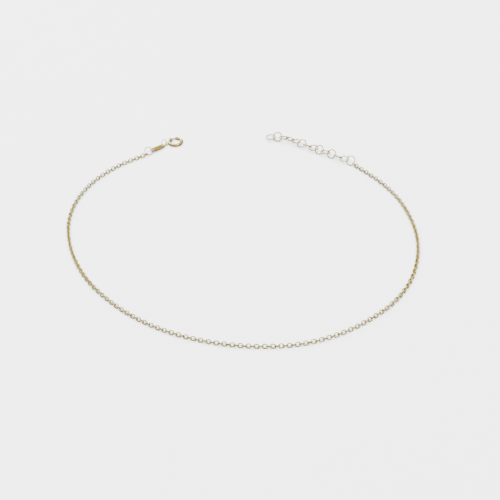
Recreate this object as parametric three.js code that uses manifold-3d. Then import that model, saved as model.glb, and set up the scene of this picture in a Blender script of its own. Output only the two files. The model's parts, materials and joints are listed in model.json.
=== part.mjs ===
// A fine gold chain anklet, lying open on a flat surface. Millimetres, +Z up.
// The surface is z = 0, and the origin is under the middle of the whole piece.
// +Y runs from the front of the loop to the clasp and the extender at its open end.
import * as THREE from 'three';
import { mergeVertices } from 'three/addons/utils/BufferGeometryUtils.js';
import Module from 'manifold-3d';

const wasm = await Module();
wasm.setup();

const DEGREE = Math.PI / 180;

// ---- Driving dimensions ----

// The cable link: a round wire bent to a short oval, and the rolls of the links left and right.
const LINK = { width: 1.24, wire: 0.3, roll: 45 * DEGREE };
const CHAIN_STEPS = 80;
const CHAIN_SIDES = 8;

// The line through the middles of the links, from the first link at the clasp's end
// to the last link at the extender's end: [x, y] on the surface.
const CHAIN_ROUTE = [
  [-25.0, 36.8], [-32.5, 32.1], [-38.6, 25.8], [-42.6, 18.1], [-44.3, 9.5],
  [-43.8, 0.7], [-41.7, -7.8], [-38.2, -15.8], [-33.3, -23.1], [-27.4, -29.6],
  [-20.6, -35.0], [-12.9, -39.2], [-4.6, -42.1], [4.0, -43.6], [12.8, -43.5],
  [21.2, -41.2], [28.8, -36.9], [35.4, -31.2], [40.3, -24.0], [43.2, -15.7],
  [44.3, -7.0], [43.6, 1.7], [41.4, 10.2], [37.5, 18.0], [31.8, 25.8],
];

// Soldered rings are round wire: radius of the wire's centre line, and the wire's own diameter.
const EXTENDER_RING = { radius: 1.19, wire: 0.25 };
const EXTENDER_JUMP_RING = { radius: 1.25, wire: 0.26 };
const TAG_JUMP_RING = { radius: 1.15, wire: 0.2 };
const CLASP_JUMP_RING = { radius: 0.9, wire: 0.18 };
const RING_FACETS = { around: 20, wire: 8 };

// The extender's line, from its free tip to the jump ring that holds the chain: [x, y].
const EXTENDER_ROUTE = [
  [9.9, 41.1], [11.8, 40.7], [15.0, 39.3], [19.6, 35.9], [23.2, 33.0], [27.7, 29.6], [30.9, 27.2],
];

// How each extender ring lies, from the free tip: step is the way along the line from the ring
// before it, tilt is its lean about the line in degrees, and height is its centre's.
const EXTENDER_RINGS = [
  { step: 0.0, tilt: 0, height: 0.8 },
  { step: 1.92, tilt: 50, height: 1.05 },
  { step: 1.84, tilt: -18, height: 1.05 },
  { step: 1.86, tilt: -56, height: 1.12 },
  { step: 1.88, tilt: -12, height: 1.0 },
  { step: 1.9, tilt: 24, height: 0.95 },
  { step: 1.94, tilt: -38, height: 0.9 },
  { step: 1.96, tilt: 2, height: 0.9 },
  { step: 1.96, tilt: 48, height: 1.02 },
  { step: 1.98, tilt: -16, height: 0.9 },
  { step: 2.0, tilt: 50, height: 1.05 },
  { step: 2.02, tilt: -40, height: 0.95 },
  { step: 2.02, tilt: 2, height: 0.9 },
  { step: 2.06, tilt: 48, height: 1.06 },
];

// The spring ring lies flat. Angles run counter-clockwise about its centre from +X.
const CLASP = {
  centre: [-16.65, 42.25],
  radius: 1.7, // of the tube's centre line
  tube: 0.8, // outer diameter
  bore: 0.5,
  mouthFrom: 92 * DEGREE,
  mouthTo: 128 * DEGREE,
};
const EYE = { angle: 193 * DEGREE, radius: 0.45, wire: 0.26, seat: 0.14 };
const LEVER = {
  bolt: 0.38, // diameter
  tip: 88 * DEGREE,
  heel: 165 * DEGREE,
  knobAngle: 131 * DEGREE,
  travel: 41 * DEGREE,
  stem: 0.26, // diameter
  knob: 0.44, // diameter
  reach: 0.24, // of the knob's middle past the tube
  slotPlay: 0.06,
};

// The tag is a flat strip with round ends and a hole in each, from the chain to the clasp.
const TAG = { width: 1.5, thickness: 0.22, hole: 0.76, margin: 0.55, endSteps: 10 };
const TAG_HOLES = { chain: [-23.1, 38.5, 0.7], clasp: [-20.15, 40.7, 0.42] };

const JUMP_RINGS = {
  jump_ring_tag: { size: TAG_JUMP_RING, centre: [-24.05, 37.9], heading: 42, tilt: 42 },
  jump_ring_clasp: { size: CLASP_JUMP_RING, centre: [-19.8, 41.35], heading: 45, tilt: 65 },
};

// ---- Materials ----

const gold = new THREE.MeshStandardMaterial({ color: 0xe3c066, metalness: 1, roughness: 0.22 });
const warmGold = new THREE.MeshStandardMaterial({ color: 0xcf9c3f, metalness: 1, roughness: 0.3 });

// ---- Helpers ----

const group = new THREE.Group();

function addMesh(name, geometry, material, parent = group) {
  const mesh = new THREE.Mesh(geometry, material);
  mesh.name = name;
  parent.add(mesh);
  return mesh;
}

// A smooth level curve through [x, y] points at one height.
function levelCurve(points, height) {
  const knots = points.map(([x, y]) => new THREE.Vector3(x, y, height));
  return new THREE.CatmullRomCurve3(knots);
}

// An arc about the origin in the XY plane, as a path for a tube.
class ArcPath extends THREE.Curve {
  constructor(radius, from, to) {
    super();
    Object.assign(this, { radius, from, to });
  }

  getPoint(t, target = new THREE.Vector3()) {
    const angle = this.from + (this.to - this.from) * t;
    return target.set(this.radius * Math.cos(angle), this.radius * Math.sin(angle), 0);
  }
}

function polygon(diameter, sides) {
  const shape = new THREE.Shape();
  shape.setFromPoints(polygonPoints(diameter, sides));
  return shape;
}

// A regular outline whose flats, not its corners, are the diameter apart.
function polygonPoints(diameter, sides) {
  const reach = diameter / 2 / Math.cos(Math.PI / sides);
  return Array.from({ length: sides }, (_, side) => {
    const angle = ((side + 0.5) * 2 * Math.PI) / sides;
    return new THREE.Vector2(reach * Math.cos(angle), reach * Math.sin(angle));
  });
}

function toSolid(geometry) {
  const bare = geometry.clone();
  bare.deleteAttribute('normal');
  bare.deleteAttribute('uv');
  const merged = mergeVertices(bare, 1e-4);
  return new wasm.Manifold(new wasm.Mesh({
    numProp: 3,
    vertProperties: new Float32Array(merged.attributes.position.array),
    triVerts: new Uint32Array(merged.index.array),
  }));
}

function toGeometry(solid) {
  const mesh = solid.getMesh();
  const geometry = new THREE.BufferGeometry();
  geometry.setAttribute('position', new THREE.BufferAttribute(mesh.vertProperties, 3));
  geometry.setIndex(new THREE.BufferAttribute(mesh.triVerts, 1));
  return geometry;
}

function ringGeometry({ radius, wire }) {
  return new THREE.TorusGeometry(radius, wire / 2, RING_FACETS.wire, RING_FACETS.around);
}

// Turns a piece that is made flat: it leans about its own X, then X turns to the heading.
function place(mesh, centre, heading, tilt, pitch = 0) {
  mesh.position.set(...centre);
  mesh.rotation.set(tilt, pitch, heading, 'ZYX');
}

// ---- Chain ----

// The links lie rolled to one side and the other by turns, so the chain is as high as it is wide,
// and an eight-sided tube with one flat down has its size.
function makeChain() {
  const width = (LINK.width - LINK.wire) * Math.cos(LINK.roll) + LINK.wire;
  const geometry = new THREE.ExtrudeGeometry(polygon(width, CHAIN_SIDES), {
    steps: CHAIN_STEPS,
    extrudePath: levelCurve(CHAIN_ROUTE, width / 2),
  });
  addMesh('chain', geometry, gold);
}

// ---- Extender ----

function makeExtender() {
  const line = levelCurve(EXTENDER_ROUTE, 0);
  const length = line.getLength();
  const last = EXTENDER_RINGS.length - 1;
  let way = 0;
  EXTENDER_RINGS.forEach(({ step, tilt, height }, index) => {
    way += step;
    const along = Math.min(way / length, 1);
    const point = line.getPointAt(along);
    const tangent = line.getTangentAt(along);
    const number = String(index + 1).padStart(2, '0');
    const isJumpRing = index === last;
    const mesh = addMesh(
      isJumpRing ? 'extender_jump_ring' : `extender_ring_${number}`,
      ringGeometry(isJumpRing ? EXTENDER_JUMP_RING : EXTENDER_RING),
      gold,
    );
    place(mesh, [point.x, point.y, height], Math.atan2(tangent.y, tangent.x), tilt * DEGREE);
  });
}

// ---- Jump rings at the clasp's end ----

// Each stands leaning with its lowest point on the surface.
function makeJumpRings() {
  for (const [name, { size, centre, heading, tilt }] of Object.entries(JUMP_RINGS)) {
    const lean = tilt * DEGREE;
    const height = size.radius * Math.sin(lean) + size.wire / 2;
    place(addMesh(name, ringGeometry(size), gold), [...centre, height], heading * DEGREE, lean);
  }
}

// ---- End tag ----

function makeTag() {
  const chainHole = new THREE.Vector3(...TAG_HOLES.chain);
  const claspHole = new THREE.Vector3(...TAG_HOLES.clasp);
  const span = claspHole.clone().sub(chainHole);
  const half = span.length() / 2;
  const end = half + TAG.margin - TAG.width / 2;
  const shape = new THREE.Shape();
  shape.absarc(end, 0, TAG.width / 2, -Math.PI / 2, Math.PI / 2, false);
  shape.absarc(-end, 0, TAG.width / 2, Math.PI / 2, 1.5 * Math.PI, false);
  for (const x of [-half, half]) {
    shape.holes.push(new THREE.Path().absarc(x, 0, TAG.hole / 2, 0, 2 * Math.PI, true));
  }
  const geometry = new THREE.ExtrudeGeometry(shape, {
    depth: TAG.thickness,
    bevelEnabled: false,
    curveSegments: TAG.endSteps,
  });
  geometry.translate(0, 0, -TAG.thickness / 2);
  const middle = chainHole.add(claspHole).multiplyScalar(0.5);
  const heading = Math.atan2(span.y, span.x);
  const pitch = -Math.asin(span.z / span.length());
  place(addMesh('end_tag', geometry, warmGold), middle.toArray(), heading, 0, pitch);
}

// ---- Spring ring clasp ----

// The tube, open at both sides of its mouth, with a slot in its outer wall for the lever's knob
// and a small eye soldered on.
function makeClaspRing(parent) {
  const { radius, tube, bore, mouthFrom, mouthTo } = CLASP;
  const section = polygon(tube, 12);
  section.holes.push(new THREE.Path().setFromPoints(polygonPoints(bore, 8).reverse()));
  const body = toSolid(new THREE.ExtrudeGeometry(section, {
    steps: 40,
    extrudePath: new ArcPath(radius, mouthTo, mouthFrom + 2 * Math.PI),
  }));

  const slotWidth = LEVER.stem + 2 * LEVER.slotPlay;
  const slotEnd = LEVER.knobAngle + LEVER.travel + slotWidth / 2 / radius;
  const slotOuter = radius + tube;
  const sector = new THREE.Shape();
  sector.absarc(0, 0, slotOuter, mouthTo - 10 * DEGREE, slotEnd, false);
  sector.absarc(0, 0, radius, slotEnd, mouthTo - 10 * DEGREE, true);
  const slot = new THREE.ExtrudeGeometry(sector, {
    depth: slotWidth,
    bevelEnabled: false,
    curveSegments: 10,
  });
  slot.translate(0, 0, -slotWidth / 2);

  const eye = ringGeometry(EYE);
  const eyeReach = radius + tube / 2 + EYE.radius + EYE.wire / 2 - EYE.seat;
  eye.translate(eyeReach * Math.cos(EYE.angle), eyeReach * Math.sin(EYE.angle), 0);

  const solid = body.subtract(toSolid(slot)).add(toSolid(eye));
  addMesh('clasp_ring', toGeometry(solid), gold, parent);
}

// The sprung bolt, a bent rod that crosses the mouth, with its knob standing out of the slot.
// It turns about the clasp's centre.
function makeLever(parent) {
  const { radius, tube } = CLASP;
  const bolt = toSolid(new THREE.ExtrudeGeometry(polygon(LEVER.bolt, 8), {
    steps: 16,
    extrudePath: new ArcPath(radius, LEVER.tip, LEVER.heel),
  }));
  const knobAt = radius + tube / 2 + LEVER.reach;
  const stem = new THREE.CylinderGeometry(LEVER.stem / 2, LEVER.stem / 2, knobAt - radius, 10);
  stem.rotateZ(-Math.PI / 2);
  stem.translate((knobAt + radius) / 2, 0, 0);
  const knob = new THREE.SphereGeometry(LEVER.knob / 2, 12, 8);
  knob.translate(knobAt, 0, 0);
  const handle = toSolid(stem).add(toSolid(knob)).rotate([0, 0, LEVER.knobAngle / DEGREE]);
  addMesh('clasp_lever', toGeometry(bolt.add(handle)), gold, parent);
}

function makeClasp() {
  const clasp = new THREE.Group();
  clasp.position.set(...CLASP.centre, CLASP.tube / 2);
  group.add(clasp);
  makeClaspRing(clasp);
  makeLever(clasp);
}

makeChain();
makeExtender();
makeJumpRings();
makeTag();
makeClasp();

export default group;
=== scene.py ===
# %% [markdown]
# # A fine gold chain anklet
# The anklet is a cable chain of small oval links. One end carries an end tag and a spring ring
# clasp, and the other carries an extender of round rings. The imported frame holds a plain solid
# of every piece, in its place, and the clasp's one joint. The plain solids could be painted as
# they are, but they show no single links, so each is made again here with fine wire, solder
# joints and polish.
# %% Load the frame
import json
import math

import bmesh
import bpy
import numpy as np
from mathutils import Matrix, Vector


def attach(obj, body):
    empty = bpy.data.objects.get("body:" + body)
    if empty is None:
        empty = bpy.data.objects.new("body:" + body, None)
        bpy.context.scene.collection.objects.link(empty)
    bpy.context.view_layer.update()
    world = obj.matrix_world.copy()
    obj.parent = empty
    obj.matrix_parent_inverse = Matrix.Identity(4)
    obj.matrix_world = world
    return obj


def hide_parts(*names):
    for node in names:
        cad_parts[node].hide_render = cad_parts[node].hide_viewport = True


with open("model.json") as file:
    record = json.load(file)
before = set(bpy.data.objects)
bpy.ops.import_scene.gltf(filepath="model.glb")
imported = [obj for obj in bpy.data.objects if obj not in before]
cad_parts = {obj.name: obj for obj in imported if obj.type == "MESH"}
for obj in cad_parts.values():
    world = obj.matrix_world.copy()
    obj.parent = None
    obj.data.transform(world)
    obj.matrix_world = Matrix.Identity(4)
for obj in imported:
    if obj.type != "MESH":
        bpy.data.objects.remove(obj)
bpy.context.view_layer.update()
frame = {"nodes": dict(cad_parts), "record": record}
print("frame nodes:", len(frame["nodes"]))

# %% [markdown]
# ## Link sizes
# Everything is in metres, so lengths are written in millimetres and multiplied by MM.
# The link has the size of a usual stock link for a fine ankle chain. Its lean is how far it
# lies over to one side, and the next link lies over as far to the other. The sizes of the
# other pieces stand where they are first needed, beside the shapes that they drive.
# %% Link sizes
MM = 0.001
LINK_LENGTH = 1.56 * MM
LINK_WIDTH = 1.24 * MM
LINK_WIRE = 0.3 * MM
LINK_LEAN = math.radians(45)
LINK_COUNT = 223
print("one link is", LINK_LENGTH / MM, "by", LINK_WIDTH / MM, "mm of", LINK_WIRE / MM, "mm wire")

# %% [markdown]
# ## Shader expressions
# A finish is worked out by many small nodes, one for each sum or product. They could be added
# and linked one by one, but then the formula is lost among the links. So one small class wraps
# a socket, and the maths of a finish reads as plain expressions. Its make method builds any
# other node: its settings are set first and its inputs after them.
# %% Socket wrapper
class Wire:
    def __init__(self, tree, socket=None):
        self.tree = tree
        self.socket = socket

    def make(self, kind, settings=None, inputs=None, output=0):
        node = self.tree.nodes.new(kind)
        for name, value in (settings or {}).items():
            setattr(node, name, value)
        for name, value in (inputs or {}).items():
            if isinstance(value, Wire):
                self.tree.links.new(value.socket, node.inputs[name])
            else:
                node.inputs[name].default_value = value
        return Wire(self.tree, node.outputs[output] if len(node.outputs) else None)

    def maths(self, operation, first, second=0.0, clamp=False):
        settings = {"operation": operation, "use_clamp": clamp}
        return self.make("ShaderNodeMath", settings, {0: first, 1: second})

    def __add__(self, other):
        return self.maths("ADD", self, other)

    def __radd__(self, other):
        return self.maths("ADD", other, self)

    def __sub__(self, other):
        return self.maths("SUBTRACT", self, other)

    def __rsub__(self, other):
        return self.maths("SUBTRACT", other, self)

    def __mul__(self, other):
        return self.maths("MULTIPLY", self, other)

    def __rmul__(self, other):
        return self.maths("MULTIPLY", other, self)

    def __truediv__(self, other):
        return self.maths("DIVIDE", self, other)

    def __rtruediv__(self, other):
        return self.maths("DIVIDE", other, self)

    def __neg__(self):
        return self.maths("MULTIPLY", self, -1.0)

    def kept_in_range(self):
        return self.maths("ADD", self, 0.0, clamp=True)

    def above(self, low, high):
        return ((self - low) / (high - low)).kept_in_range()

    def stretched(self, scales):
        settings = {"operation": "MULTIPLY"}
        return self.make("ShaderNodeVectorMath", settings, {0: self, 1: scales})

    def turned(self, euler):
        settings = {"rotation_type": "EULER_XYZ"}
        return self.make("ShaderNodeVectorRotate", settings, {"Vector": self, "Rotation": euler})

    def noise(self, scale, detail=2.0, roughness=0.5):
        inputs = {"Vector": self, "Scale": scale, "Detail": detail, "Roughness": roughness}
        return self.make("ShaderNodeTexNoise", {"noise_dimensions": "3D"}, inputs)

    def blend(self, first, second):
        settings = {"data_type": "RGBA", "blend_type": "MIX"}
        return self.make("ShaderNodeMix", settings, {0: self, 6: first, 7: second}, output=2)


print("socket wrapper ready")

# %% [markdown]
# ## Starting and closing a gold
# Every gold here is a metal with a colour, a roughness and a very shallow bump. One flat colour
# would do from far away, but close up drawn wire shows its grain, its marks and its solder, so
# all three come as patterns. These helpers start a material and close it, so that each finish
# below says only what is its own.
# %% Material helpers
BUMP_DEPTH = 0.002 * MM


def new_material(name):
    material = bpy.data.materials.new(name)
    material.use_nodes = True
    material.node_tree.nodes.clear()
    return material, Wire(material.node_tree)


def finish_surface(wires, inputs):
    surface = wires.make("ShaderNodeBsdfPrincipled", None, inputs)
    wires.make("ShaderNodeOutputMaterial", None, {"Surface": surface})


def finish_gold(wires, colour, roughness, height, strength):
    bump = {"Strength": strength, "Distance": BUMP_DEPTH, "Height": height}
    normal = wires.make("ShaderNodeBump", None, bump)
    inputs = {"Base Color": colour, "Roughness": roughness, "Normal": normal, "Metallic": 1.0}
    finish_surface(wires, inputs)


def own_place(wires):
    return wires.make("ShaderNodeTexCoord", output="Object")


def share(wires, name):
    return wires.make("ShaderNodeAttribute", {"attribute_name": name}, output="Fac")


print("bump is", round(BUMP_DEPTH / MM, 4), "mm deep")

# %% [markdown]
# ## Polished gold
# The links and rings are drawn wire, soldered and then tumbled bright, so their surface is a
# mirror with a faint drift of tone and countless tiny tumbling marks. A picture wrapped round
# the wire could carry them, but patterns worked out from the piece's own coordinates need no
# unwrapping and show no join. Solder is a little paler than the wire. Three shares are stored
# on the meshes: seam is a solder joint, rub is where one link wears the next, and tone sets one
# link a little apart from another. The scales are steps in a metre, and the parts say how much
# each pattern counts in the colour, the roughness and the height.
# %% Patterns of polished gold
DRIFT_SCALE = 420.0
GRAIN_SCALE = 26000.0
MARK_SCALES = (9000.0, 2200.0, 30000.0)
DRIFT_RANGE = (0.3, 0.7)
MARK_RANGE = (0.56, 0.7)
DRIFT_TONE = 0.55
LINK_TONE = 0.45
RUB_TONE = 0.5
MARK_TONE = 0.18
SOLDER_TONE = 0.7
GRAIN_ROUGH = 0.07
MARK_ROUGH = 0.06
SEAM_ROUGH = 0.1
RUB_SMOOTH = 0.03
GRAIN_HEIGHT = 0.6
MARK_HEIGHT = 0.4
SEAM_HEIGHT = 0.5
GOLD_BUMP = 0.25
print("grain of about", round(1 / GRAIN_SCALE / MM, 3), "mm")

# %% [markdown]
# The colour is mixed in three steps, from the body of the metal through what is worn to the
# solder. Adding the three colours would be shorter, but it could pass white, and mixing can't.
# %% Polished gold
def polished_gold(name, light, deep, solder, dullness):
    material, wires = new_material(name)
    place = own_place(wires)
    seam = share(wires, "seam")
    rub = share(wires, "rub")
    tone = share(wires, "tone")
    drift = place.noise(DRIFT_SCALE, detail=3.0).above(*DRIFT_RANGE)
    grain = place.noise(GRAIN_SCALE, detail=3.0, roughness=0.65)
    marks = place.stretched(MARK_SCALES).noise(1.0, detail=2.0, roughness=0.6).above(*MARK_RANGE)
    body = (drift * DRIFT_TONE + tone * LINK_TONE).kept_in_range().blend(light, deep)
    worn = (rub * RUB_TONE + marks * MARK_TONE).kept_in_range().blend(body, light)
    colour = (seam * SOLDER_TONE).blend(worn, solder)
    added = dullness + GRAIN_ROUGH * grain + MARK_ROUGH * marks + SEAM_ROUGH * seam
    roughness = added - RUB_SMOOTH * rub
    height = grain * GRAIN_HEIGHT + marks * MARK_HEIGHT + seam * SEAM_HEIGHT
    finish_gold(wires, colour, roughness, height, GOLD_BUMP)
    return material


print("a solder joint is", SOLDER_TONE, "of the way to the solder's colour")

# %% [markdown]
# Links, rings and clasp share the same gold. The rings are the brightest, and the clasp is
# handled the most, so it is the dullest. One material could serve all three, but each has its
# own dullness, so each gets its own.
# %% Three golds
LIGHT_GOLD = (0.95, 0.78, 0.24, 1.0)
DEEP_GOLD = (0.88, 0.68, 0.11, 1.0)
SOLDER = (0.93, 0.84, 0.48, 1.0)
CHAIN_DULLNESS = 0.13
RING_DULLNESS = 0.11
CLASP_DULLNESS = 0.15
chain_gold = polished_gold("chain_gold", LIGHT_GOLD, DEEP_GOLD, SOLDER, CHAIN_DULLNESS)
ring_gold = polished_gold("ring_gold", LIGHT_GOLD, DEEP_GOLD, SOLDER, RING_DULLNESS)
clasp_gold = polished_gold("clasp_gold", LIGHT_GOLD, DEEP_GOLD, SOLDER, CLASP_DULLNESS)
print("gold finishes:", chain_gold.name, ring_gold.name, clasp_gold.name)

# %% [markdown]
# ## Making meshes
# Most pieces are a section carried along a line. Curves with a round bevel could make them, but
# a share has to be painted on exact rows of points, so a grid of points makes them all, with
# its rows and columns wrapped where the wire is closed. Doubles are merged first, which closes
# the poles, and only then are the normals worked out again.
# %% Mesh helpers
UP = np.array([0.0, 0.0, 1.0])
MERGE_WITHIN = 0.0001 * MM


def flat_way(turn):
    return np.array([math.cos(turn), math.sin(turn), 0.0])


def full_turn(steps):
    return np.arange(steps) * 2 * math.pi / steps


def grid_faces(rows, columns, wrap_rows=True):
    faces = []
    for row in range(rows if wrap_rows else rows - 1):
        for column in range(columns):
            next_row = (row + 1) % rows
            next_column = (column + 1) % columns
            faces.append((
                row * columns + column,
                row * columns + next_column,
                next_row * columns + next_column,
                next_row * columns + column,
            ))
    return faces


print("points merge within", round(MERGE_WITHIN / MM, 5), "mm")

# %% [markdown]
# Smooth shading would round off a sawn edge, so edges sharper than a given angle can stay
# sharp. Every mesh made this way is closed, and one that isn't says so.
# %% Closed meshes
def closed_mesh(name, points, faces, sharp_above=None):
    mesh = bpy.data.meshes.new(name)
    mesh.from_pydata([tuple(point) for point in points], [], faces)
    shape = bmesh.new()
    shape.from_mesh(mesh)
    bmesh.ops.remove_doubles(shape, verts=shape.verts, dist=MERGE_WITHIN)
    bmesh.ops.recalc_face_normals(shape, faces=shape.faces)
    for face in shape.faces:
        face.smooth = True
    if sharp_above is not None:
        for edge in shape.edges:
            edge.smooth = edge.calc_face_angle(0.0) < sharp_above
    open_edges = sum(len(edge.link_faces) != 2 for edge in shape.edges)
    shape.to_mesh(mesh)
    shape.free()
    if open_edges:
        print(name, "has", open_edges, "open edges")
    return mesh


def store_share(mesh, name, values):
    layer = mesh.attributes.new(name, "FLOAT", "POINT")
    layer.data.foreach_set("value", np.asarray(values, dtype=np.float32))


print("mesh helpers ready")

# %% [markdown]
# ## One link
# A cable link is a short piece of round wire bent to an oval and soldered shut. It could be as
# fine as a ring, but it repeats hundreds of times, so it has only five sides round the wire and
# six steps round each end. The inside of each end, where the next link pulls on it, is stored
# as its rub share, which fades towards the straight sides.
# %% Link mesh
LINK_SIDES = 5
LINK_END_STEPS = 6
RUB_FADE = 3


def link_mesh():
    end_radius = (LINK_WIDTH - LINK_WIRE) / 2
    straight = (LINK_LENGTH - LINK_WIDTH) / 2
    one_end = np.linspace(-90, 90, LINK_END_STEPS)
    turns = np.radians(np.concatenate([one_end, one_end + 180]))
    sides = np.repeat([1.0, -1.0], LINK_END_STEPS)
    section = np.radians((np.arange(LINK_SIDES) + 0.5) * 360 / LINK_SIDES)
    points = []
    rub = []
    for turn, side in zip(turns, sides):
        out = flat_way(turn)
        middle = np.array([side * straight, 0.0, 0.0]) + end_radius * out
        for angle in section:
            offset = math.cos(angle) * out + math.sin(angle) * UP
            points.append(middle + LINK_WIRE / 2 * offset)
            rub.append(max(0.0, -math.cos(angle)) * abs(math.cos(turn)) ** RUB_FADE)
    mesh = closed_mesh("link", points, grid_faces(2 * LINK_END_STEPS, LINK_SIDES))
    store_share(mesh, "rub", rub)
    return mesh


link = bpy.data.objects.new("link_pattern", link_mesh())
bpy.context.scene.collection.objects.link(link)
print("one link has", len(link.data.polygons), "faces")

# %% [markdown]
# ## The chain's route
# The route is the line through the middles of the links, as the chain lies on the table. Straight
# lines between its knots would show as kinks, so it runs through them as a centripetal
# Catmull-Rom curve, which never loops or overshoots. The frame's tube follows the same curve.
# The knots are in millimetres.
# %% Smooth route
CHAIN_ROUTE = [
    [-25.0, 36.8], [-32.5, 32.1], [-38.6, 25.8], [-42.6, 18.1], [-44.3, 9.5],
    [-43.8, 0.7], [-41.7, -7.8], [-38.2, -15.8], [-33.3, -23.1], [-27.4, -29.6],
    [-20.6, -35.0], [-12.9, -39.2], [-4.6, -42.1], [4.0, -43.6], [12.8, -43.5],
    [21.2, -41.2], [28.8, -36.9], [35.4, -31.2], [40.3, -24.0], [43.2, -15.7],
    [44.3, -7.0], [43.6, 1.7], [41.4, 10.2], [37.5, 18.0], [31.8, 25.8],
]
SPAN_SAMPLES = 40


def knot_gap(start, end):
    return math.sqrt(np.linalg.norm(end - start))


def curve_between(p0, p1, p2, p3):
    gap_0, gap_1, gap_2 = knot_gap(p0, p1), knot_gap(p1, p2), knot_gap(p2, p3)
    leave = ((p1 - p0) / gap_0 - (p2 - p0) / (gap_0 + gap_1) + (p2 - p1) / gap_1) * gap_1
    reach = ((p2 - p1) / gap_1 - (p3 - p1) / (gap_1 + gap_2) + (p3 - p2) / gap_2) * gap_1
    square = 3 * (p2 - p1) - 2 * leave - reach
    cube = 2 * (p1 - p2) + leave + reach
    along = np.linspace(0, 1, SPAN_SAMPLES, endpoint=False)[:, None]
    return p1 + leave * along + square * along ** 2 + cube * along ** 3


def through_knots(knots):
    first = 2 * knots[0] - knots[1]
    last = 2 * knots[-1] - knots[-2]
    padded = np.vstack([first, knots, last])
    spans = [curve_between(*padded[start:start + 4]) for start in range(len(knots) - 1)]
    return np.vstack([*spans, knots[-1:]])


flat_route = through_knots(np.array(CHAIN_ROUTE) * MM)
print("flat route of", len(flat_route), "points")

# %% [markdown]
# The chain rests on the table by the edges of its leaning links. Its two end links hang in
# rings that stand off the table, so there the route reaches a little on and lifts. Turning the
# last links by hand would do too, but a lift of the route keeps every gap between links even.
# %% Lifted route
START_REACH = 0.15 * MM
END_REACH = 0.3 * MM
START_LIFT = 0.05 * MM
END_LIFT = 0.2 * MM
LIFT_RUN = 2.5 * MM


def reached_on(end, before, reach):
    return end + (end - before) / np.linalg.norm(end - before) * reach


def lifted_route(flat):
    start = reached_on(flat[0], flat[1], START_REACH)
    end = reached_on(flat[-1], flat[-2], END_REACH)
    flat = np.vstack([start, flat, end])
    steps = np.linalg.norm(np.diff(flat, axis=0), axis=1)
    run = np.concatenate([[0], np.cumsum(steps)])
    middle = ((LINK_WIDTH - LINK_WIRE) * math.cos(LINK_LEAN) + LINK_WIRE) / 2
    near_start = np.clip(1 - run / LIFT_RUN, 0, 1)
    near_end = np.clip(1 - (run[-1] - run) / LIFT_RUN, 0, 1)
    height = middle + START_LIFT * near_start ** 2 + END_LIFT * near_end ** 2
    return np.column_stack([flat, height]), run[-1]


route, route_length = lifted_route(flat_route)
pitch = route_length / (LINK_COUNT - 1)
print("route", round(route_length / MM, 2), "mm, pitch", round(pitch / MM, 4), "mm")

# %% [markdown]
# ## Links along the route
# A real chain is the same link over and over. It could be an array bent along a curve, but an
# array turns every copy alike, while links hung in each other lean to one side and the other by
# turns. So a node tree sets them out. The route, the link, the count, the lean, the play, the
# seed and the finish are its inputs.
# %% Chain tree sockets
CHAIN_INPUTS = {
    "Route": "NodeSocketGeometry",
    "Link": "NodeSocketObject",
    "Count": "NodeSocketInt",
    "Lean": "NodeSocketFloat",
    "Play": "NodeSocketFloat",
    "Seed": "NodeSocketInt",
    "Finish": "NodeSocketMaterial",
}


def new_chain_tree():
    tree = bpy.data.node_groups.new("links_on_a_route", "GeometryNodeTree")
    for name, kind in CHAIN_INPUTS.items():
        tree.interface.new_socket(name, in_out="INPUT", socket_type=kind)
    tree.interface.new_socket("Links", in_out="OUTPUT", socket_type="NodeSocketGeometry")
    return tree


def given(wires, name):
    return wires.make("NodeGroupInput", output=name)


def random_value(wires, low, high, seed):
    settings = {"data_type": "FLOAT"}
    return wires.make("FunctionNodeRandomValue", settings, {2: low, 3: high, "Seed": seed}, output=1)


print("the chain tree takes:", ", ".join(CHAIN_INPUTS))

# %% [markdown]
# Each link faces along the route and leans over by its lean, to the other side from the one
# before it. Chain is never perfectly even, so a small chance play is added to each lean, and a
# smaller part of it turns the link's heading.
# %% Turn of each link
YAW_PART = 0.25


def link_turns(wires):
    tangent = wires.make("GeometryNodeInputTangent")
    facing = wires.make(
        "FunctionNodeAxesToRotation",
        {"primary_axis": "X", "secondary_axis": "Z"},
        {"Primary Axis": tangent, "Secondary Axis": tuple(UP)},
    )
    index = wires.make("GeometryNodeInputIndex")
    by_turns = 1.0 - 2.0 * wires.maths("MODULO", index, 2.0)
    seed = given(wires, "Seed")
    play = given(wires, "Play")
    loose = random_value(wires, -1.0, 1.0, seed)
    yaw = random_value(wires, -1.0, 1.0, seed + 1.0)
    lean = by_turns * given(wires, "Lean") + loose * play
    euler = wires.make("ShaderNodeCombineXYZ", None, {"X": lean, "Z": yaw * play * YAW_PART})
    turn = wires.make("FunctionNodeEulerToRotation", None, {"Euler": euler})
    return wires.make(
        "FunctionNodeRotateRotation",
        {"rotation_space": "LOCAL"},
        {"Rotation": facing, "Rotate By": turn},
    )


print("a link's heading takes", YAW_PART, "of the play")

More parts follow.
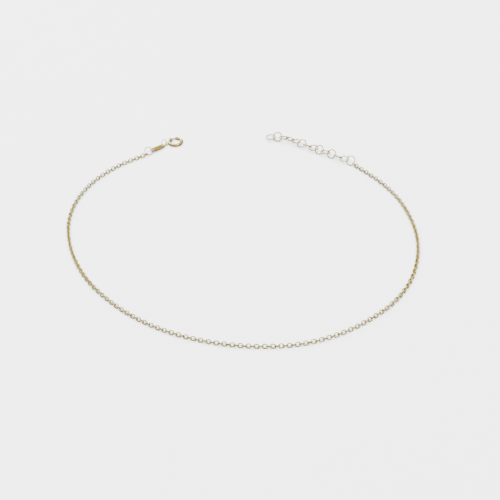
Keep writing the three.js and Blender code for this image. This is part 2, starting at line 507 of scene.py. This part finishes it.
# %% [markdown]
# The tree spaces points evenly along the route, sets a turned link on each and stores a chance
# tone on it. The instances are made real at the end, because an export drops instances.
# %% Chain node tree
def chain_tree():
    tree = new_chain_tree()
    wires = Wire(tree)
    line = wires.make("GeometryNodeMeshToCurve", None, {"Mesh": given(wires, "Route")})
    points = {"Curve": line, "Count": given(wires, "Count")}
    spaced = wires.make("GeometryNodeResampleCurve", {"mode": "COUNT"}, points)
    pattern = {"Object": given(wires, "Link")}
    shape = wires.make("GeometryNodeObjectInfo", None, pattern, output="Geometry")
    places = {"Points": spaced, "Instance": shape, "Rotation": link_turns(wires)}
    placed = wires.make("GeometryNodeInstanceOnPoints", None, places)
    tone = random_value(wires, 0.0, 1.0, given(wires, "Seed") + 2.0)
    toned = wires.make(
        "GeometryNodeStoreNamedAttribute",
        {"data_type": "FLOAT", "domain": "INSTANCE"},
        {"Geometry": placed, "Name": "tone", "Value": tone},
    )
    solid = wires.make("GeometryNodeRealizeInstances", None, {"Geometry": toned})
    finish = {"Geometry": solid, "Material": given(wires, "Finish")}
    finished = wires.make("GeometryNodeSetMaterial", None, finish)
    wires.make("NodeGroupOutput", None, {"Links": finished})
    return tree


links_tree = chain_tree()
print("chain tree has", len(links_tree.nodes), "nodes")

# %% [markdown]
# The route goes in as a line of points on an object of its own, which only carries it. A curve
# object would do as well, but a line of points keeps the route just as it was worked out.
# %% Route line
def route_carrier():
    line = bpy.data.meshes.new("route")
    edges = [(index, index + 1) for index in range(len(route) - 1)]
    line.from_pydata([tuple(point) for point in route], edges, [])
    carrier = bpy.data.objects.new("route", line)
    bpy.context.scene.collection.objects.link(carrier)
    return carrier


carrier = route_carrier()
print("route line of", len(carrier.data.edges), "edges")

# %% [markdown]
# The finished links come out as one plain mesh. The modifier could stay on the object, but a
# plain mesh is what rides on a body. An input is found by its name and set by
# its identifier, which is what the modifier stores it under.
# %% Chain mesh
CHAIN_PLAY = math.radians(5)
CHAIN_SEED = 11


def set_inputs(modifier, values):
    for item in modifier.node_group.interface.items_tree:
        if item.in_out == "INPUT" and item.name in values:
            modifier[item.identifier] = values[item.name]


def chain_mesh():
    modifier = carrier.modifiers.new("links", "NODES")
    modifier.node_group = links_tree
    set_inputs(modifier, {
        "Link": link,
        "Count": LINK_COUNT,
        "Lean": LINK_LEAN,
        "Play": CHAIN_PLAY,
        "Seed": CHAIN_SEED,
        "Finish": chain_gold,
    })
    depsgraph = bpy.context.evaluated_depsgraph_get()
    depsgraph.update()
    mesh = bpy.data.meshes.new_from_object(
        carrier.evaluated_get(depsgraph), preserve_all_data_layers=True, depsgraph=depsgraph
    )
    carrier.modifiers.clear()
    bpy.data.objects.remove(carrier)
    bpy.data.objects.remove(link)
    return mesh


chain_links = chain_mesh()
print("chain faces:", len(chain_links.polygons))

# %% [markdown]
# A finished piece rides on one body of the frame, takes the place of its plain solid and
# names the material slot that it belongs to. The chain is the first.
# %% Chain piece
def add_piece(name, mesh, material, body, nodes):
    piece = bpy.data.objects.new(name, mesh)
    bpy.context.scene.collection.objects.link(piece)
    mesh.materials.clear()
    mesh.materials.append(material)
    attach(piece, body)
    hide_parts(*nodes)


add_piece("fine_chain", chain_links, chain_gold, "anklet", ["chain"])
print("fine_chain added")

# %% [markdown]
# ## Soldered rings
# The extender's links and the jump rings are round wire wound on a rod, cut and soldered. Their
# places could be written down again here, but then they could drift from the frame, so each
# ring takes its centre and its lean from its plain solid. The least spread of the solid's points
# is along the ring's axis, and that is the last direction that the decomposition gives.
# %% Place of a solid
POINT_DIGITS = 7


def solid_points(node):
    mesh = frame["nodes"][node].data
    points = np.empty(len(mesh.vertices) * 3)
    mesh.vertices.foreach_get("co", points)
    return np.unique(points.reshape(-1, 3).round(POINT_DIGITS), axis=0)


def solid_frame(node):
    points = solid_points(node)
    centre = (points.min(axis=0) + points.max(axis=0)) / 2
    axes = np.linalg.svd(points - points.mean(axis=0), full_matrices=False)[2]
    return centre, axes[0], np.cross(axes[2], axes[0]), axes[2]


ring_nodes = sorted(node for node in frame["nodes"] if "ring" in node and node != "clasp_ring")
print("soldered rings:", len(ring_nodes))

# %% [markdown]
# The solder leaves a joint that stands very slightly proud of the wire. A torus would make the
# ring quickly, but it has no joint, so a grid of points makes it, a little thicker near the joint.
# %% Ring mesh
RING_STEPS = 56
RING_SIDES = 12
SEAM_WIDTH = 0.55
SEAM_RISE = 0.07


def ring_mesh(name, centre, across, up, axis, radius, wire, seam_at, steps=RING_STEPS):
    points = []
    seams = []
    for turn in full_turn(steps):
        away = (turn - seam_at + math.pi) % (2 * math.pi) - math.pi
        seam = math.exp(-(away * radius / (SEAM_WIDTH * wire)) ** 2)
        thick = wire / 2 * (1 + SEAM_RISE * seam)
        out = math.cos(turn) * across + math.sin(turn) * up
        for angle in full_turn(RING_SIDES):
            offset = math.cos(angle) * out + math.sin(angle) * axis
            points.append(centre + radius * out + thick * offset)
            seams.append(seam)
    mesh = closed_mesh(name, points, grid_faces(steps, RING_SIDES))
    store_share(mesh, "seam", seams)
    return mesh


print("a ring has", RING_STEPS * RING_SIDES, "faces")

# %% [markdown]
# Each size is the radius to the middle of the wire and the wire's thickness. Joints in a row
# would look made by a machine, so chance says where each ring's joint is and how deep its tone.
# %% Ring pieces
EXTENDER_RING_SIZE = (1.19 * MM, 0.29 * MM)
RING_SIZES = {
    "extender_jump_ring": (1.25 * MM, 0.26 * MM),
    "jump_ring_tag": (1.15 * MM, 0.23 * MM),
    "jump_ring_clasp": (0.9 * MM, 0.19 * MM),
    "extender_ring_13": (1.19 * MM, 0.26 * MM),
}
RING_SEED = 5
RING_TONES = (0.6, 1.0)

chance = np.random.default_rng(RING_SEED)
for node in ring_nodes:
    radius, wire = RING_SIZES.get(node, EXTENDER_RING_SIZE)
    seam_at = chance.uniform(0, 2 * math.pi)
    mesh = ring_mesh("fine_" + node, *solid_frame(node), radius, wire, seam_at)
    store_share(mesh, "tone", np.full(len(mesh.vertices), chance.uniform(*RING_TONES)))
    add_piece("fine_" + node, mesh, ring_gold, "anklet", [node])
    print(node, round(2 * radius / MM, 2), "mm across, of", round(wire / MM, 2), "mm wire")

# %% [markdown]
# ## End tag
# The tag is a small flat strip with round ends and a hole in each. Boolean cuts in a box could
# make it, but they leave ragged faces at the rims, so its outlines are written as rows of points.
# Each outline can be drawn in by an inset, which the rounded edges need.
# %% Tag outlines
TAG_WIDTH = 1.5 * MM
TAG_THICKNESS = 0.22 * MM
TAG_HOLE = 0.76 * MM
TAG_MARGIN = 0.55 * MM
TAG_HOLE_SPAN = 3.69 * MM
TAG_STEPS = 20


def tag_outlines(inset):
    half = np.linspace(-math.pi / 2, math.pi / 2, TAG_STEPS + 1)
    middle = TAG_HOLE_SPAN / 2 + TAG_MARGIN - TAG_WIDTH / 2
    radius = TAG_WIDTH / 2 - inset
    right = np.column_stack([middle + radius * np.cos(half), radius * np.sin(half)])
    full = full_turn(2 * TAG_STEPS)
    hole = np.column_stack([np.cos(full), np.sin(full)]) * (TAG_HOLE / 2 + inset)
    shift = np.array([TAG_HOLE_SPAN / 2, 0.0])
    return [np.vstack([right, -right]), hole + shift, hole - shift]


print("tag outline and holes:", [len(outline) for outline in tag_outlines(0.0)], "points")

# %% [markdown]
# The edges of the tag and the rims of its holes are rounded by tumbling. A bevel modifier could
# round them, but it has trouble where a rim meets a flat face of long triangles, so each outline
# is repeated through the thickness and drawn in at both faces.
# %% Tag rows
TAG_EDGE = 0.05 * MM
TAG_ROWS = 8


def tag_rows(shape, centre, along, across, axis):
    rows = []
    for turn in np.radians(np.linspace(-90, 90, TAG_ROWS)):
        inset = TAG_EDGE * (1 - math.cos(turn))
        height = TAG_EDGE * math.sin(turn)
        height += math.copysign(TAG_THICKNESS / 2 - TAG_EDGE, turn)
        loops = []
        for outline in tag_outlines(inset):
            spots = [centre + x * along + y * across + height * axis for x, y in outline]
            loops.append([shape.verts.new(spot) for spot in spots])
        rows.append(loops)
    return rows


print("the tag's edge is rounded by", TAG_EDGE / MM, "mm")

# %% [markdown]
# Walls join each row to the next, and the two faces are filled last. Rims are left sharp,
# because the rounded edge ends there and the flat face should stay flat.
# %% Tag mesh
def loop_pairs(loop):
    return list(zip(loop, loop[1:] + loop[:1]))


def fill_tag_face(shape, loops):
    rims = [shape.edges.get(pair) for loop in loops for pair in loop_pairs(loop)]
    bmesh.ops.triangle_fill(shape, use_beauty=True, edges=rims)
    for edge in rims:
        edge.smooth = False


def tag_mesh(place):
    shape = bmesh.new()
    rows = tag_rows(shape, *place)
    for lower, upper in zip(rows, rows[1:]):
        for low, high in zip(lower, upper):
            for (here, there), (above, beyond) in zip(loop_pairs(low), loop_pairs(high)):
                shape.faces.new((here, there, beyond, above))
    fill_tag_face(shape, rows[0])
    fill_tag_face(shape, rows[-1])
    bmesh.ops.recalc_face_normals(shape, faces=shape.faces)
    for face in shape.faces:
        face.smooth = True
    mesh = bpy.data.meshes.new("fine_end_tag")
    shape.to_mesh(mesh)
    shape.free()
    return mesh


tag_place = solid_frame("end_tag")
end_tag = tag_mesh(tag_place)
print("tag faces:", len(end_tag.polygons))

# %% [markdown]
# ## Rolled tag gold
# The tag is punched from rolled sheet, which takes a deeper colour than the wire. It keeps the
# straight grain of the rolling under its polish. An even noise would look cast and not rolled,
# so the pattern is turned to the strip's heading and stretched along it.
# %% Rolled tag gold
TAG_LIGHT = (0.88, 0.66, 0.13, 1.0)
TAG_DEEP = (0.77, 0.53, 0.06, 1.0)
ROLLED_SCALES = (900.0, 24000.0, 24000.0)
SHEET_DRIFT_SCALE = 500.0
SCUFF_SCALE = 2600.0
SHEET_DRIFT_RANGE = (0.3, 0.7)
SCUFF_RANGE = (0.45, 0.8)
SHEET_DRIFT_TONE = 0.6
LINE_TONE = 0.4
SCUFF_TONE = 0.15
TAG_DULLNESS = 0.17
LINE_ROUGH = 0.14
SCUFF_ROUGH = 0.04
LINE_HEIGHT = 0.9
SCUFF_HEIGHT = 0.1
TAG_BUMP = 0.35


def rolled_gold(name, heading):
    material, wires = new_material(name)
    place = own_place(wires)
    along = place.turned((0.0, 0.0, -heading))
    lines = along.stretched(ROLLED_SCALES).noise(1.0, detail=3.0, roughness=0.6)
    drift = place.noise(SHEET_DRIFT_SCALE, detail=2.0).above(*SHEET_DRIFT_RANGE)
    scuffs = along.noise(SCUFF_SCALE, detail=3.0, roughness=0.6).above(*SCUFF_RANGE)
    sheet = (drift * SHEET_DRIFT_TONE + lines * LINE_TONE).kept_in_range()
    body = sheet.blend(TAG_LIGHT, TAG_DEEP)
    colour = (scuffs * SCUFF_TONE).blend(body, TAG_LIGHT)
    roughness = TAG_DULLNESS + LINE_ROUGH * lines + SCUFF_ROUGH * scuffs
    height = lines * LINE_HEIGHT + scuffs * SCUFF_HEIGHT
    finish_gold(wires, colour, roughness, height, TAG_BUMP)
    return material


tag_middle, tag_along = tag_place[:2]
rolled_tag_gold = rolled_gold("rolled_tag_gold", math.atan2(tag_along[1], tag_along[0]))
add_piece("fine_end_tag", end_tag, rolled_tag_gold, "anklet", ["end_tag"])
print("tag middle in mm:", (tag_middle / MM).round(2))

# %% [markdown]
# ## Clasp tube
# The clasp is a spring ring: a hollow round tube bent to an open ring, with a sprung bolt in it.
# The angles are in degrees round its centre. The tube's ends are turned in to a small lip at
# each side of the mouth, and a slot runs from one of them, where the bolt's knob slides.
# %% Clasp sizes
CLASP_RADIUS = 1.7 * MM
TUBE_RADIUS = 0.4 * MM
BORE_RADIUS = 0.25 * MM
MOUTH_FROM = 92
MOUTH_TO = 128
SLOT_END = 178.4
SLOT_WIDTH = 0.38 * MM
clasp_centre = np.array(frame["record"]["behaviour"]["joints"][0]["pos_m"])
print("the clasp is", round(2 * (CLASP_RADIUS + TUBE_RADIUS) / MM, 2), "mm across")
print("clasp centre in mm:", (clasp_centre / MM).round(2))

# %% [markdown]
# The tube could be a torus with its mouth and its slot cut out, but a cut leaves faces of any
# shape and no lip. So its grid is planned: the rows lie closer at the lips, one row falls on the
# slot's end, and the first columns of the section fall on the slot's two sides.
# %% Rows and columns of the tube
LIP_OFFSETS = np.array([0.0, 0.02, 0.05, 0.1]) * MM
LIP_RADII = np.array([0.355 * MM, 0.378 * MM, 0.393 * MM, TUBE_RADIUS])
SLOT_CELLS = 3
BACK_CELLS = 19
SLOT_STEP = 3.0
TUBE_STEP = 4.0
LIP_CLEAR = 6
SLOT_CLEAR = 1
END_CLEAR = 5


def section_angles(slot_half):
    inside_slot = np.linspace(-slot_half, slot_half, SLOT_CELLS + 1)
    round_the_back = np.linspace(slot_half, 2 * math.pi - slot_half, BACK_CELLS + 1)[1:-1]
    return np.concatenate([inside_slot, round_the_back])


def tube_stations():
    lip = np.degrees(LIP_OFFSETS / CLASP_RADIUS)
    end = MOUTH_FROM + 360
    slotted = np.arange(MOUTH_TO + LIP_CLEAR, SLOT_END, SLOT_STEP)
    slotted = slotted[slotted < SLOT_END - SLOT_CLEAR]
    plain = np.arange(SLOT_END + TUBE_STEP, end - END_CLEAR, TUBE_STEP)
    return np.concatenate([MOUTH_TO + lip, slotted, [SLOT_END], plain, (end - lip)[::-1]])


stations = tube_stations()
print("the tube has", len(stations), "rows of", SLOT_CELLS + BACK_CELLS, "points")

# %% [markdown]
# The tube has two skins, the outside and the bore, on the same rows and columns. Each row is a
# circle of points about the clasp's curved middle line. A Solidify modifier could make the bore,
# but a sprung bolt needs its exact width, so both skins are written with a radius for each row.
# %% Tube skins
def tube_skin(centre, stations, radii, angles):
    points = []
    for station, radius in zip(np.radians(stations), radii):
        for angle in angles:
            reach = CLASP_RADIUS + radius * math.cos(angle)
            points.append(centre + reach * flat_way(station) + radius * math.sin(angle) * UP)
    return points


slot_row = int(np.argmin(abs(stations - SLOT_END)))
print("the slot ends at row", slot_row)

# %% [markdown]
# The cells of the slot are left out of both skins. The skins are bridged along the slot's two
# sides, at both ends of the tube and across the slot's end, which leaves no edge open.
# %% Tube faces
def tube_faces(rows, columns, slot_row):
    inner = rows * columns
    faces = []

    def corner(row, column, skin=0):
        return skin + row * columns + column % columns

    def bridge(first, second):
        outside = [corner(*first), corner(*second)]
        faces.append((*outside, corner(*second, inner), corner(*first, inner)))

    for row in range(rows - 1):
        for column in range(SLOT_CELLS if row < slot_row else 0, columns):
            for skin in (0, inner):
                faces.append((
                    corner(row, column, skin), corner(row, column + 1, skin),
                    corner(row + 1, column + 1, skin), corner(row + 1, column, skin),
                ))
    for row in range(slot_row):
        bridge((row, 0), (row + 1, 0))
        bridge((row, SLOT_CELLS), (row + 1, SLOT_CELLS))
    for row, first_column in ((0, SLOT_CELLS), (rows - 1, 0)):
        for column in range(first_column, columns):
            bridge((row, column), (row, column + 1))
    for column in range(SLOT_CELLS):
        bridge((slot_row, column), (slot_row, column + 1))
    return faces


print("the wall is", round((TUBE_RADIUS - BORE_RADIUS) / MM, 3), "mm thick")

# %% [markdown]
# The rows near each end narrow to the lip. Edges sharper than a given angle stay sharp, so the
# sawn slot and the lips catch the light as thin lines.
# %% Clasp tube mesh
SHARP_ABOVE = math.radians(40)


def tube_mesh(centre):
    rows = len(stations)
    outer_radii = np.full(rows, TUBE_RADIUS)
    outer_radii[:len(LIP_RADII)] = LIP_RADII
    outer_radii[-len(LIP_RADII):] = LIP_RADII[::-1]
    outer_angles = section_angles(math.asin(SLOT_WIDTH / 2 / TUBE_RADIUS))
    inner_angles = section_angles(math.asin(SLOT_WIDTH / 2 / BORE_RADIUS))
    points = tube_skin(centre, stations, outer_radii, outer_angles)
    points += tube_skin(centre, stations, np.full(rows, BORE_RADIUS), inner_angles)
    faces = tube_faces(rows, len(outer_angles), slot_row)
    return closed_mesh("clasp_tube", points, faces, sharp_above=SHARP_ABOVE)


tube = tube_mesh(clasp_centre)
print("clasp tube faces:", len(tube.polygons))

# %% [markdown]
# ## Turned shapes
# The fillet of solder and the knob are round about an axis, as if turned on a lathe. A Screw
# modifier could turn them, but a mesh made from a profile closes its own poles and needs no
# object to carry it. A profile is a list of places along the axis, each with its radius. Closed
# shells that never move apart can then be joined as one mesh.
# %% Lathe and ball
LATHE_SIDES = 16


def lathe_mesh(name, origin, axis, profile):
    across = np.cross(axis, UP)
    across = across / np.linalg.norm(across)
    up = np.cross(axis, across)
    points = []
    for way, radius in profile:
        for angle in full_turn(LATHE_SIDES):
            rim = math.cos(angle) * across + math.sin(angle) * up
            points.append(origin + way * axis + radius * rim)
    faces = grid_faces(len(profile), LATHE_SIDES, wrap_rows=False)
    return closed_mesh(name, points, faces)


def ball_profile(middle, radius, squash, steps):
    turns = np.linspace(-math.pi / 2, math.pi / 2, steps)
    return [(middle + squash * radius * math.sin(t), radius * math.cos(t)) for t in turns]


def joined(name, meshes):
    whole = bmesh.new()
    for mesh in meshes:
        whole.from_mesh(mesh)
    result = bpy.data.meshes.new(name)
    whole.to_mesh(result)
    whole.free()
    return result


print("turned shapes have", LATHE_SIDES, "sides")

# %% [markdown]
# ## Clasp eye
# The eye is a small ring of wire soldered to the tube, and a fillet of solder runs between them.
# They could be merged by a boolean, but tube, eye and fillet only have to look like one, and
# they never move apart, so their closed shells are joined in one piece.
# %% Clasp eye
EYE_ANGLE = 193
EYE_RADIUS = 0.45 * MM
EYE_WIRE = 0.26 * MM
EYE_REACH = 2.54 * MM
EYE_STEPS = 32
FILLET_RADIUS = 0.17 * MM
FILLET_SQUASH = 0.55
FILLET_STEPS = 9
eye_way = flat_way(math.radians(EYE_ANGLE))
eye_side = np.array([-eye_way[1], eye_way[0], 0.0])
eye_middle = clasp_centre + EYE_REACH * eye_way
eye = ring_mesh(
    "eye", eye_middle, eye_way, eye_side, UP, EYE_RADIUS, EYE_WIRE, math.pi, EYE_STEPS
)
fillet_ball = ball_profile(CLASP_RADIUS + TUBE_RADIUS, FILLET_RADIUS, FILLET_SQUASH, FILLET_STEPS)
fillet = lathe_mesh("fillet", clasp_centre, eye_way, fillet_ball)
store_share(fillet, "seam", np.ones(len(fillet.vertices)))
clasp_mesh = joined("fine_clasp_ring", [tube, eye, fillet])
add_piece("fine_clasp_ring", clasp_mesh, clasp_gold, "anklet", ["clasp_ring"])
print("clasp ring faces:", len(clasp_mesh.polygons))

# %% [markdown]
# ## Lever
# The lever is a short rod bent to the clasp's curve, with round ends and a small turned knob on
# a stem. It closes the mouth at rest, and the thumb slides it back round the ring. The rod could
# be a bent cylinder, but the skin that made the tube makes it too, with narrowing end rows.
# %% Bolt mesh
BOLT_RADIUS = 0.19 * MM
BOLT_TIP = 88
BOLT_HEEL = 165
BOLT_STEPS = 18
BOLT_SIDES = 12
BOLT_CAP = 0.8
BOLT_END_TURNS = np.radians([0, 20, 40, 60, 90])


def bolt_mesh(centre):
    cap = BOLT_CAP * np.degrees(BOLT_RADIUS / CLASP_RADIUS)
    inset = cap * (1 - np.sin(BOLT_END_TURNS))
    narrow = BOLT_RADIUS * np.cos(BOLT_END_TURNS)
    body = np.linspace(BOLT_TIP + cap, BOLT_HEEL - cap, BOLT_STEPS)
    rows = np.concatenate([BOLT_TIP + inset[:0:-1], body, BOLT_HEEL - inset[1:]])
    radii = np.concatenate([narrow[:0:-1], np.full(BOLT_STEPS, BOLT_RADIUS), narrow[1:]])
    points = tube_skin(centre, rows, radii, full_turn(BOLT_SIDES))
    return closed_mesh("bolt", points, grid_faces(len(radii), BOLT_SIDES, wrap_rows=False))


bolt = bolt_mesh(clasp_centre)
print("bolt faces:", len(bolt.polygons))

# %% [markdown]
# The knob stands out through the slot on a thin stem, which flares where it meets the ball.
# Each step of the flare is a place measured from the ball's seat and a share of the stem's
# radius. Bolt and knob are one part on the real clasp, and one piece on the lever's body here.
# %% Lever piece
KNOB_ANGLE = 131
KNOB_REACH = 2.34 * MM
KNOB_RADIUS = 0.22 * MM
KNOB_SQUASH = 0.95
KNOB_STEPS = 12
KNOB_SEAT = KNOB_REACH - 0.19 * MM
KNOB_START = 0.03 * MM
STEM_RADIUS = 0.13 * MM
STEM_FLARE = ((-0.08 * MM, 1.0), (-0.03 * MM, 1.12), (0.01 * MM, 1.3))


def knob_mesh(centre):
    stem = [(KNOB_SEAT + step, STEM_RADIUS * widening) for step, widening in STEM_FLARE]
    ball = ball_profile(KNOB_REACH, KNOB_RADIUS, KNOB_SQUASH, KNOB_STEPS)
    ball = [spot for spot in ball if spot[0] > KNOB_SEAT + KNOB_START]
    profile = [(CLASP_RADIUS, 0.0), (CLASP_RADIUS, STEM_RADIUS), *stem, *ball]
    return lathe_mesh("knob", centre, flat_way(math.radians(KNOB_ANGLE)), profile)


lever_mesh = joined("fine_clasp_lever", [bolt, knob_mesh(clasp_centre)])
add_piece("fine_clasp_lever", lever_mesh, clasp_gold, "lever", ["clasp_lever"])
print("lever faces:", len(lever_mesh.polygons))

# %% [markdown]
# ## Table
# The anklet lies on a plain pale table. It could be a flat white, but a very faint mottle keeps
# it from looking like paper cut out. Black cards beside a piece keep a white table out of its
# mirror in a studio, and here the table is left out of reflections in the same way.
# %% Table
TABLE_HALF = 3.0
TABLE_DULL = (0.93, 0.93, 0.93, 1.0)
TABLE_PALE = (0.95, 0.95, 0.95, 1.0)
TABLE_MOTTLE = 40.0
TABLE_ROUGHNESS = 0.9


def pale_table():
    corners = [(x * TABLE_HALF, y * TABLE_HALF, 0) for x, y in ((-1, -1), (1, -1), (1, 1), (-1, 1))]
    mesh = bpy.data.meshes.new("table")
    mesh.from_pydata(corners, [], [(0, 1, 2, 3)])
    material, wires = new_material("table_white")
    colour = own_place(wires).noise(TABLE_MOTTLE, detail=3.0).blend(TABLE_DULL, TABLE_PALE)
    inputs = {"Base Color": colour, "Roughness": TABLE_ROUGHNESS, "Metallic": 0.0}
    finish_surface(wires, inputs)
    mesh.materials.append(material)
    table = bpy.data.objects.new("table", mesh)
    table.visible_glossy = False
    bpy.context.scene.collection.objects.link(table)


pale_table()
print("the table is", 2 * TABLE_HALF, "m wide")

# %% [markdown]
# ## Room
# Polished gold shows only what it mirrors, so it gets a room of its own: dim at the horizon and
# lighter overhead, and a little lighter below. A picture of a room could do this, but a simple
# rise of strength with height gives the calm bands that jewellery is lit with.
# %% Room
ROOM_COLOUR = (1.0, 0.98, 0.95, 1.0)
ROOM_LOW = 0.4
ROOM_HORIZON = 0.16
ROOM_HIGH = 1.1
ROOM_TOP = 0.9
ROOM_BOTTOM = 0.6


def studio_room():
    world = bpy.data.worlds.new("room")
    world.use_nodes = True
    world.node_tree.nodes.clear()
    wires = Wire(world.node_tree)
    way = wires.make("ShaderNodeTexCoord", output="Generated")
    height = wires.make("ShaderNodeSeparateXYZ", None, {"Vector": way}, output="Z")
    up = height.above(0.0, ROOM_TOP)
    down = (-height).above(0.0, ROOM_BOTTOM)
    strength = ROOM_HORIZON + up * (ROOM_HIGH - ROOM_HORIZON) + down * (ROOM_LOW - ROOM_HORIZON)
    inputs = {"Color": ROOM_COLOUR, "Strength": strength}
    room = wires.make("ShaderNodeBackground", None, inputs)
    wires.make("ShaderNodeOutputWorld", None, {"Surface": room})
    bpy.context.scene.world = world


studio_room()
print("room strength from", ROOM_HORIZON, "at the horizon to", ROOM_HIGH, "overhead")

# %% [markdown]
# ## Lights
# A broad wash of soft light falls on the table from above. It could light the gold too, but it
# would fill the whole mirror and turn the gold white, so it is left out of reflections. Two
# soft boxes, one behind and one in front, give the glints instead.
# %% Lights
WASH_PLACE = (-0.1, 0.1, 1.0)
WASH_SIZE = 1.6
WASH_POWER = 70.0
SOFT_BOXES = (
    ("back_box", (-0.3, 0.6, 0.55), 0.35, 4.0),
    ("front_box", (0.35, -0.45, 0.75), 0.3, 3.0),
)


def soft_light(name, place, size, power, mirrored=True):
    data = bpy.data.lights.new(name, "AREA")
    data.shape = "SQUARE"
    data.size = size
    data.energy = power
    light = bpy.data.objects.new(name, data)
    light.location = place
    light.rotation_euler = (-Vector(place)).to_track_quat("-Z", "Y").to_euler()
    light.visible_glossy = mirrored
    bpy.context.scene.collection.objects.link(light)


soft_light("wash", WASH_PLACE, WASH_SIZE, WASH_POWER, mirrored=False)
for name, place, size, power in SOFT_BOXES:
    soft_light(name, place, size, power)
print("lights set:", 1 + len(SOFT_BOXES))

# %% [markdown]
# ## Camera
# The view is from in front and above, turned very slightly. A short lens near the table would
# spread the front of the loop, so a long lens looks from further off. The camera's own frame is
# tilted first and rolled after that, which keeps its place and its aim apart.
# %% Camera
CAMERA_PLACE = (0.0022, -0.2832, 0.22186)
CAMERA_DOWN = 38.8
CAMERA_ROLL = -3.5
CAMERA_LENS = 101.4
SENSOR_WIDTH = 36.0
NEAREST_SEEN = 0.01
camera_data = bpy.data.cameras.new("camera")
camera_data.lens = CAMERA_LENS
camera_data.sensor_width = SENSOR_WIDTH
camera_data.clip_start = NEAREST_SEEN
camera = bpy.data.objects.new("camera", camera_data)
tilt = Matrix.Rotation(math.radians(90 - CAMERA_DOWN), 4, "X")
roll = Matrix.Rotation(math.radians(CAMERA_ROLL), 4, "Z")
camera.matrix_world = Matrix.Translation(CAMERA_PLACE) @ tilt @ roll
bpy.context.scene.collection.objects.link(camera)
bpy.context.scene.camera = camera
print("camera at", CAMERA_PLACE)
